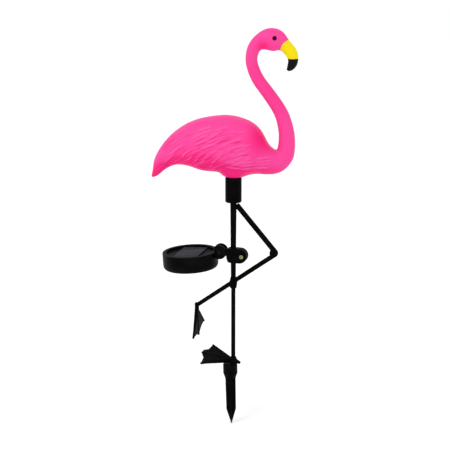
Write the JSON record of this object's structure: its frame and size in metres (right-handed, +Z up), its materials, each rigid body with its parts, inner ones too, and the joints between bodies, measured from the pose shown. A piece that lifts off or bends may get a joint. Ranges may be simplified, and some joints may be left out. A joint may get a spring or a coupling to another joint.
{
  "type": "solar flamingo garden light",
  "caption": "Pink flamingo on a thin black leg with its other leg bent, a round tilting solar box clamped to the leg and a spike for the ground.",
  "frame": {"origin": "on the leg's axis at the ground line, the top of the spike's collar", "axes": "+Z up along the leg, +X the way the bill points, -Y the bird's right flank"},
  "size_m": [0.1844, 0.0837, 0.5207],
  "materials": {
    "pink_plastic": "satin moulded plastic, painted yellow and black at the bill",
    "black_plastic": "black moulded plastic with a faint sheen",
    "brass_screw": "zinc-yellow screw",
    "dark_screw": "blackened screw",
    "cell": "silicon cell under clear resin"
  },
  "bodies": {
    "root": {"flamingo_body": "pink_plastic", "body_collar": "black_plastic", "leg_frame": "black_plastic", "lower_leg": "black_plastic", "standing_foot": "black_plastic", "raised_foot": "black_plastic", "ground_stake": "black_plastic"},
    "clamp": {"clamp_back": "black_plastic", "clamp_front": "black_plastic", "clamp_screw": "brass_screw"},
    "panel": {"panel_housing": "black_plastic", "panel_cover": "black_plastic", "solar_cell": "cell", "tilt_screw": "dark_screw"}
  },
  "joints": [
    {"name": "clamp_swivel", "type": "hinge", "parent": "root", "child": "clamp", "pos_m": [0, 0, 0.1466], "axis": [0, 0, 1], "range_deg": [-90, 120]},
    {"name": "panel_tilt", "type": "hinge", "parent": "clamp", "child": "panel", "pos_m": [-0.01688, 0.005, 0.1502], "axis": [-0.284, -0.9588, 0], "range_deg": [-40, 35]}
  ]
}
